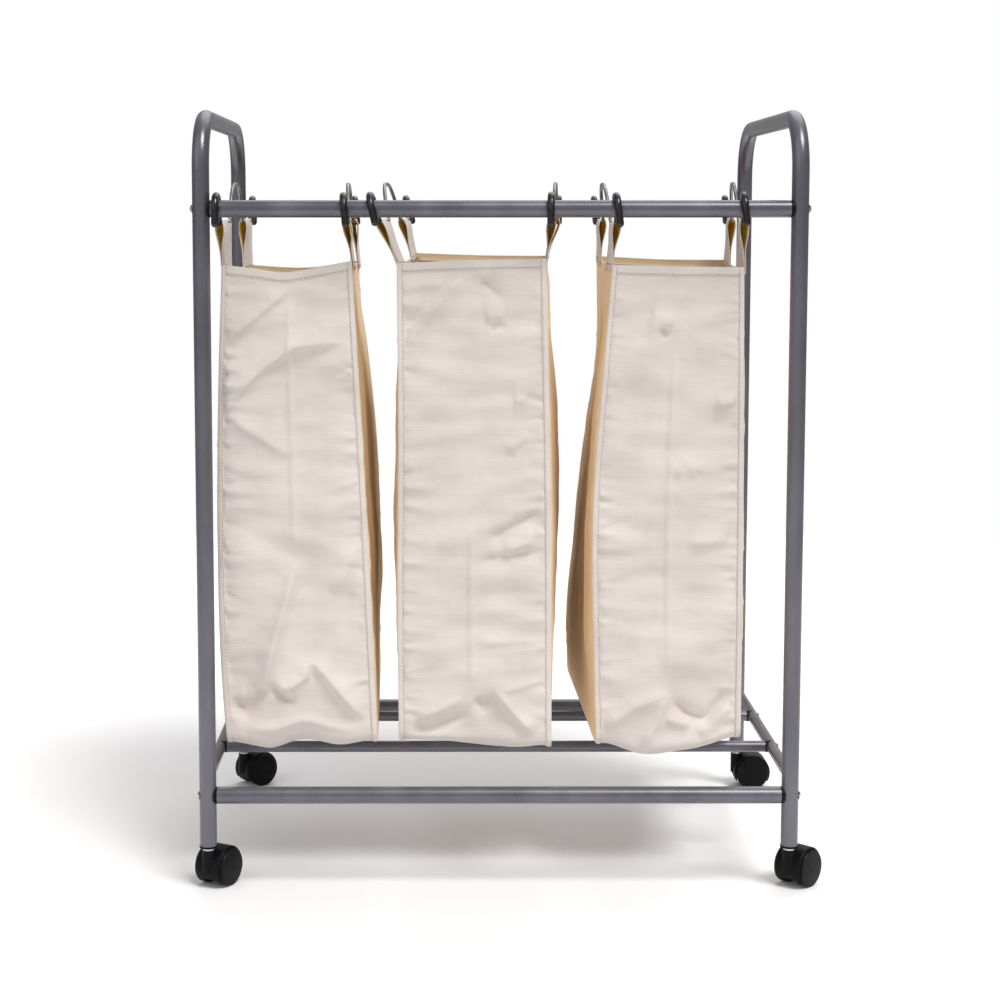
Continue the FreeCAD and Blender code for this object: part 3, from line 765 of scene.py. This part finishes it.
def combined(nodes, links, operation, first, second):
    """A Math node; either side is a number or another node's output."""
    node = nodes.new("ShaderNodeMath")
    node.operation = operation
    for socket, value in zip(node.inputs, (first, second)):
        if isinstance(value, (int, float)):
            socket.default_value = value
        else:
            links.new(value, socket)
    return node.outputs["Value"]


def bumped(nodes, links, shader, height, strength, distance):
    """Bump of the given distance, in metres, on a shader."""
    bump = nodes.new("ShaderNodeBump")
    bump.inputs["Strength"].default_value = strength
    bump.inputs["Distance"].default_value = distance
    links.new(height, bump.inputs["Height"])
    links.new(bump.outputs["Normal"], shader.inputs["Normal"])


def frame_paint():
    """Silver powder paint: fine metal flake, a slight orange peel and dusty streaks."""
    material, nodes, links, shader = new_material("silver_paint", (0.14, 0.135, 0.155), 0.32, 0.6)
    flake = grain(nodes, links, (2600, 2600, 2600), 1.0)
    cloud = grain(nodes, links, (26, 26, 9), 4.0)
    tone = combined(nodes, links, "ADD", combined(nodes, links, "MULTIPLY", flake, 0.55),
                    combined(nodes, links, "MULTIPLY", cloud, 0.45))
    links.new(ramp(nodes, links, tone, [(0.35, (0.115, 0.113, 0.132)), (0.5, (0.150, 0.147, 0.170)),
                                        (0.66, (0.205, 0.201, 0.228))]), shader.inputs["Base Color"])
    links.new(ranged(nodes, links, cloud, 0.27, 0.38), shader.inputs["Roughness"])
    peel = grain(nodes, links, (420, 420, 420), 2.0)
    bumped(nodes, links, shader, peel, 0.12, 0.0004)
    return material


def bare_metal(name, colour, roughness, scale):
    """Plated steel: drawn marks along its length and small stains."""
    material, nodes, links, shader = new_material(name, colour, roughness, 1.0)
    marks = grain(nodes, links, scale, 3.0)
    dark = tuple(channel * 0.72 for channel in colour)
    links.new(ramp(nodes, links, marks, [(0.3, dark), (0.62, colour)]), shader.inputs["Base Color"])
    links.new(ranged(nodes, links, marks, roughness + 0.12, roughness - 0.04), shader.inputs["Roughness"])
    bumped(nodes, links, shader, marks, 0.12, 0.0002)
    return material


def moulded(name, colour, roughness, texture_scale, bump, dust):
    """Moulded plastic: fine spark texture, with a little dust in patches."""
    material, nodes, links, shader = new_material(name, colour, roughness, 0.0, Specular_IOR_Level=0.12)
    spark = grain(nodes, links, (texture_scale,) * 3, 2.0)
    cloud = grain(nodes, links, (45, 45, 45), 4.0)
    dusty = tuple(channel + dust for channel in colour)
    links.new(ramp(nodes, links, cloud, [(0.42, colour), (0.78, dusty)]), shader.inputs["Base Color"])
    links.new(ranged(nodes, links, cloud, roughness - 0.05, roughness + 0.14), shader.inputs["Roughness"])
    bumped(nodes, links, shader, spark, bump, 0.0003)
    return material


def vinyl():
    """Dipped black vinyl: glossy, thick and slightly wavy."""
    material, nodes, links, shader = new_material("dipped_vinyl", (0.005, 0.005, 0.006), 0.24, 0.0,
                                                  Coat_Weight=0.15, Coat_Roughness=0.12)
    wave = grain(nodes, links, (130, 130, 130), 2.0)
    links.new(ramp(nodes, links, wave, [(0.35, (0.004, 0.004, 0.005)), (0.7, (0.010, 0.010, 0.012))]),
              shader.inputs["Base Color"])
    links.new(ranged(nodes, links, wave, 0.18, 0.36), shader.inputs["Roughness"])
    bumped(nodes, links, shader, wave, 0.35, 0.0012)
    return material


def canvas(name, stops, shade_stops=None, low=0.0, high=1.0):
    """Unbleached canvas: plain weave with slubs.

    The tone is stops above height high. Below that the cloth gets painted shade: it darkens on the way down
    and is shade_stops below low, in metres.
    """
    material, nodes, links, shader = new_material(name, stops[0], 0.88, 0.0, Sheen_Weight=0.25,
                                                  Sheen_Roughness=0.5, Specular_IOR_Level=0.2)
    slub = grain(nodes, links, (55, 900, 1), 3.0, "UV")
    long_slub = grain(nodes, links, (18, 420, 1), 2.0, "UV")
    warp = grain(nodes, links, (1100, 60, 1), 2.0, "UV")
    cloud = grain(nodes, links, (16, 16, 16), 4.0)
    threads = combined(nodes, links, "ADD", combined(nodes, links, "MULTIPLY", slub, 0.5),
                       combined(nodes, links, "MULTIPLY", long_slub, 0.5))
    tone = combined(nodes, links, "ADD", combined(nodes, links, "MULTIPLY", threads, 0.3),
                    combined(nodes, links, "MULTIPLY", cloud, 0.7))
    colour = ramp(nodes, links, tone, [(0.34, stops[1]), (0.62, stops[0])])
    # Painted shade: the tone turns to the shade stops towards the bottom, by height.
    if shade_stops:
        place = nodes.new("ShaderNodeTexCoord")
        split = nodes.new("ShaderNodeSeparateXYZ")
        links.new(place.outputs["Object"], split.inputs["Vector"])
        wander = combined(nodes, links, "MULTIPLY", grain(nodes, links, (9, 9, 5), 2.0), 0.10)
        level = combined(nodes, links, "ADD", split.outputs["Z"], wander)
        share = ranged(nodes, links, level, 1.0, 0.0, low, high)
        shaded = ramp(nodes, links, tone, [(0.34, shade_stops[1]), (0.62, shade_stops[0])])
        mix = nodes.new("ShaderNodeMix")
        mix.data_type = "RGBA"
        links.new(share, mix.inputs["Factor"])
        links.new(colour, mix.inputs["A"])
        links.new(shaded, mix.inputs["B"])
        colour = mix.outputs["Result"]
    links.new(colour, shader.inputs["Base Color"])
    links.new(ranged(nodes, links, threads, 0.94, 0.80), shader.inputs["Roughness"])
    weft = mapped(nodes, links, "ShaderNodeTexWave", (0.01, 1, 1), "UV")
    weft.bands_direction = "Y"
    weft.inputs["Scale"].default_value = 190.0
    weft.inputs["Distortion"].default_value = 1.5
    weft.inputs["Detail"].default_value = 2.0
    weft.inputs["Detail Scale"].default_value = 3.0
    height = combined(nodes, links, "ADD", combined(nodes, links, "MULTIPLY", weft.outputs["Fac"], 0.35),
                      combined(nodes, links, "ADD", threads, combined(nodes, links, "MULTIPLY", warp, 0.35)))
    bumped(nodes, links, shader, height, 0.30, 0.0007)
    return material


# Light and dark tone of each fabric colour. Only CREAM is the canvas's own colour; the rest are painted
# shade and painted light on the same cream canvas.
CREAM = ((0.735, 0.67, 0.625), (0.65, 0.58, 0.54))
# Painted shade: the inner faces of the wrap and the gussets, the same cream canvas tinted warmer and darker
# for the shade inside the bag.
INSIDE_PAINTED_SHADE = ((0.78, 0.63, 0.43), (0.68, 0.52, 0.33))
# Painted warm shade on the gussets: the same cream canvas tinted ochre as it looks in shade between the
# bags, paler at the top and deeper towards the bottom.
SIDE_PAINTED_SHADE_LOW = ((0.93, 0.71, 0.43), (0.87, 0.63, 0.35))
SIDE_PAINTED_SHADE_TOP = ((0.92, 0.74, 0.49), (0.86, 0.66, 0.41))
SIDE_SHADE_HEIGHTS = (0.30, 0.62)   # heights, in metres, over which a gusset's painted shade deepens downwards
# Painted light: the insides of the casing loops, the same cream canvas tinted bright ochre for light shining
# through the cloth.
LOOP_PAINTED_LIGHT = ((0.98, 0.72, 0.36), (0.94, 0.64, 0.27))


def lit_through(material):
    """Let light that falls on the far face of a thin ply show on this one."""
    shader = material.node_tree.nodes["Principled BSDF"]
    shader.inputs["Subsurface Weight"].default_value = 0.75
    shader.inputs["Subsurface Radius"].default_value = (1.0, 0.7, 0.4)
    shader.inputs["Subsurface Scale"].default_value = 0.003
    return material


def thread_material():
    """Twisted cotton thread, darker than the cloth."""
    material, nodes, links, shader = new_material("cotton_thread", (0.62, 0.50, 0.36), 0.7)
    twist = grain(nodes, links, (900, 900, 900), 2.0)
    links.new(ramp(nodes, links, twist, [(0.35, (0.40, 0.30, 0.19)), (0.65, (0.66, 0.55, 0.42))]),
              shader.inputs["Base Color"])
    bumped(nodes, links, shader, twist, 0.3, 0.0002)
    return material


def dress_cad_nodes():
    """Give every CAD node that stays in sight its finish."""
    finishes = {
        "paint": frame_paint(),
        "zinc": bare_metal("zinc_plate", (0.62, 0.62, 0.64), 0.30, (60, 60, 700)),
        "wire": bare_metal("bright_wire", (0.31, 0.305, 0.31), 0.36, (300, 40, 300)),
        "plastic": moulded("black_plastic", (0.003, 0.003, 0.004), 0.42, 900, 0.2, 0.003),
        "nylon": moulded("wheel_nylon", (0.003, 0.003, 0.004), 0.36, 600, 0.15, 0.003),
        "vinyl": vinyl(),
    }
    rules = [
        ("_hanger_", "wire"), ("_hook_sleeves", "vinyl"), ("_wheel_", "nylon"), ("_hood", "plastic"),
        ("_stem", "zinc"), ("_axle", "zinc"), ("bolts", "zinc"), ("screws", "zinc"), ("inserts", "plastic"),
        ("plugs", "plastic"), ("washers", "plastic"), ("sockets", "plastic"), ("side_frame", "paint"),
        ("side_bar", "paint"), ("_rail_", "paint"), ("support_rod", "paint"),
    ]
    for name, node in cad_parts.items():
        finish = next((made for key, made in rules if key in name), None)
        if finish is None:
            continue
        node.data.materials.clear()
        node.data.materials.append(finishes[finish])


# ==== bags ============================================================================
def build_bag(number, fabrics):
    """Every visible piece of one bag, riding on its body."""
    bag = read_bag(number)
    name = bag["name"]
    wrap = wrap_grid(bag)
    wrap["flip"] = True
    hems = np.broadcast_to((wrap["hem_rows"] < HEM)[:, None], wrap["grid"].shape[:2])
    wrap["plies"] = np.where(hems, 1.0, 0.5)
    pieces = {"wrap": cloth_object(name + "_wrap_cloth", [wrap], [fabrics["cream"], fabrics["inner"]])}
    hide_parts(name + "_wrap")
    runs = seam_runs(wrap)
    casings = []
    for side in ("left", "right"):
        panel = gusset_grid(bag, side)
        panel["flip"] = side == "right"
        gusset = cloth_object(name + "_gusset_" + side, [panel], [fabrics["painted_side_shade"], fabrics["inner"]])
        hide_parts(name + "_side_" + side)
        pieces["gusset_" + side] = gusset
        for end in ("front", "rear"):
            casing = casing_grid(bag, side, end)
            casing["flip"] = end == "rear"
            casings.append(casing)
            runs.extend(casing_runs(casing))
    pieces["casings"] = cloth_object(name + "_casing_loops", casings, [fabrics["cream"], fabrics["loop"]],
                                     CASING_CLOTH)
    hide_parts(name + "_casings")
    pieces["stitching"] = join_stitches(name + "_stitching", runs, fabrics["thread"])
    for piece in pieces.values():
        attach(piece, name)


def seam_runs(wrap):
    """Lines of thread beside the wrap's long edges and along its hems."""
    grid, normals = wrap["grid"], grid_normals(wrap["grid"], True)
    runs = []
    needle = SEAM_BAND / wrap["width"]
    column = int(np.argmin(abs(wrap["across"] - needle)))
    for index in (column, len(wrap["across"]) - 1 - column):
        runs.append((grid[:, index] + normals[:, index] * 0.2, normals[:, index]))
    row = int(np.argmin(abs(wrap["down"] * wrap["length"] - (HEM - 1.4))))
    for index in (row, len(grid) - 1 - row):
        runs.append((grid[index, 4:-4] + normals[index, 4:-4] * 0.2, normals[index, 4:-4]))
    return runs


def casing_runs(casing):
    """A line of thread along the foot of each ply of a casing."""
    grid = casing["grid"]
    runs = []
    for column, outward in ((1, 1), (-2, -1)):
        line = grid[1:-1, column] + np.array([outward * 0.25, 0, 0])
        runs.append((line, np.tile([outward, 0.0, 0.0], (len(line), 1))))
    return runs


def build_bags():
    # Only the cream canvas and the thread have their own colours; the other fabrics are painted shade and
    # painted light on the same canvas, and the loop fabric is the painted light inside the casings.
    fabrics = {
        "cream": canvas("canvas_cream", CREAM),
        "inner": canvas("canvas_inside_painted_shade", INSIDE_PAINTED_SHADE),
        "painted_side_shade": canvas("canvas_side_painted_shade", SIDE_PAINTED_SHADE_TOP, SIDE_PAINTED_SHADE_LOW, *SIDE_SHADE_HEIGHTS),
        "loop": lit_through(canvas("canvas_loop_painted_light", LOOP_PAINTED_LIGHT)),
        "thread": thread_material(),
    }
    for number in (1, 2, 3):
        build_bag(number, fabrics)


# ==== studio ==========================================================================
def sun_light(name, elevation, azimuth, strength, width, colour):
    """A broad, distant light. Azimuth 0 is in front of the object, positive to its right."""
    data = bpy.data.lights.new(name, "SUN")
    data.energy = strength
    data.angle = math.radians(width)
    data.color = colour
    light = bpy.data.objects.new(name, data)
    rise, turn = math.radians(elevation), math.radians(azimuth)
    toward = Vector((math.sin(turn) * math.cos(rise), -math.cos(turn) * math.cos(rise), math.sin(rise)))
    light.rotation_euler = toward.to_track_quat("Z", "Y").to_euler()
    light.location = toward * 3
    bpy.context.scene.collection.objects.link(light)


def floor():
    """A plain pale disc under the object."""
    ring = [(FLOOR_RADIUS * math.cos(a), FLOOR_RADIUS * math.sin(a), 0)
            for a in np.linspace(0, 2 * math.pi, 97)[:-1]]
    mesh = bpy.data.meshes.new("floor")
    mesh.from_pydata(ring, [], [tuple(range(len(ring)))])
    piece = bpy.data.objects.new("floor", mesh)
    bpy.context.scene.collection.objects.link(piece)
    material, nodes, links, shader = new_material("pale_floor", (0.95, 0.95, 0.95), 0.8)
    cloud = grain(nodes, links, (3, 3, 3), 2.0)
    links.new(ramp(nodes, links, cloud, [(0.3, (0.94, 0.94, 0.94)), (0.7, (0.96, 0.96, 0.96))]),
              shader.inputs["Base Color"])
    mesh.materials.append(material)


def studio():
    """White surroundings, and a dimmer room that lights the object together with broad lamps."""
    floor()
    world = bpy.data.worlds.new("studio")
    world.use_nodes = True
    nodes, links = world.node_tree.nodes, world.node_tree.links
    room = nodes["Background"]
    room.inputs["Strength"].default_value = ROOM_LIGHT
    place = nodes.new("ShaderNodeTexCoord")
    split = nodes.new("ShaderNodeSeparateXYZ")
    links.new(place.outputs["Generated"], split.inputs["Vector"])
    beside = combined(nodes, links, "ABSOLUTE", split.outputs["X"], 0.0)
    links.new(ramp(nodes, links, beside, [(0.25, (1.2, 1.2, 1.22)), (0.75, (0.7, 0.69, 0.72))]),
              room.inputs["Color"])
    white = nodes.new("ShaderNodeBackground")
    white.inputs["Strength"].default_value = BACKDROP_LIGHT
    white.inputs["Color"].default_value = (1.0, 1.0, 1.0, 1.0)
    seen = nodes.new("ShaderNodeLightPath")
    mix = nodes.new("ShaderNodeMixShader")
    links.new(seen.outputs["Is Camera Ray"], mix.inputs["Fac"])
    links.new(room.outputs["Background"], mix.inputs[1])
    links.new(white.outputs["Background"], mix.inputs[2])
    links.new(mix.outputs["Shader"], nodes["World Output"].inputs["Surface"])
    bpy.context.scene.world = world
    sun_light("key", 58, 40, 2.2, 24, (1.0, 0.99, 0.975))
    sun_light("fill", 30, -50, 0.55, 60, (0.985, 0.99, 1.0))
    sun_light("rear", 48, 165, 0.9, 50, (1.0, 0.99, 0.98))
    bpy.context.scene.view_settings.view_transform = "Standard"


def camera():
    """The photograph's viewpoint, set out from the front rail and the two side frames."""
    posts = [box_middle("side_frame_left"), box_middle("side_frame_right")]
    middle_x = (posts[0].x + posts[1].x) / 2
    front_y = box_middle("top_rail_front").y
    data = bpy.data.cameras.new("camera")
    data.lens = CAMERA_LENS
    data.sensor_width = 36.0
    data.shift_x, data.shift_y = CAMERA_SHIFT
    view = bpy.data.objects.new("camera", data)
    view.location = (middle_x - CAMERA_LEFT, front_y - CAMERA_BACK, CAMERA_HEIGHT)
    view.rotation_euler = (math.radians(90 - CAMERA_TILT), 0.0, math.radians(-CAMERA_PAN))
    bpy.context.scene.collection.objects.link(view)
    bpy.context.scene.camera = view


camera()
studio()
dress_cad_nodes()
build_bags()
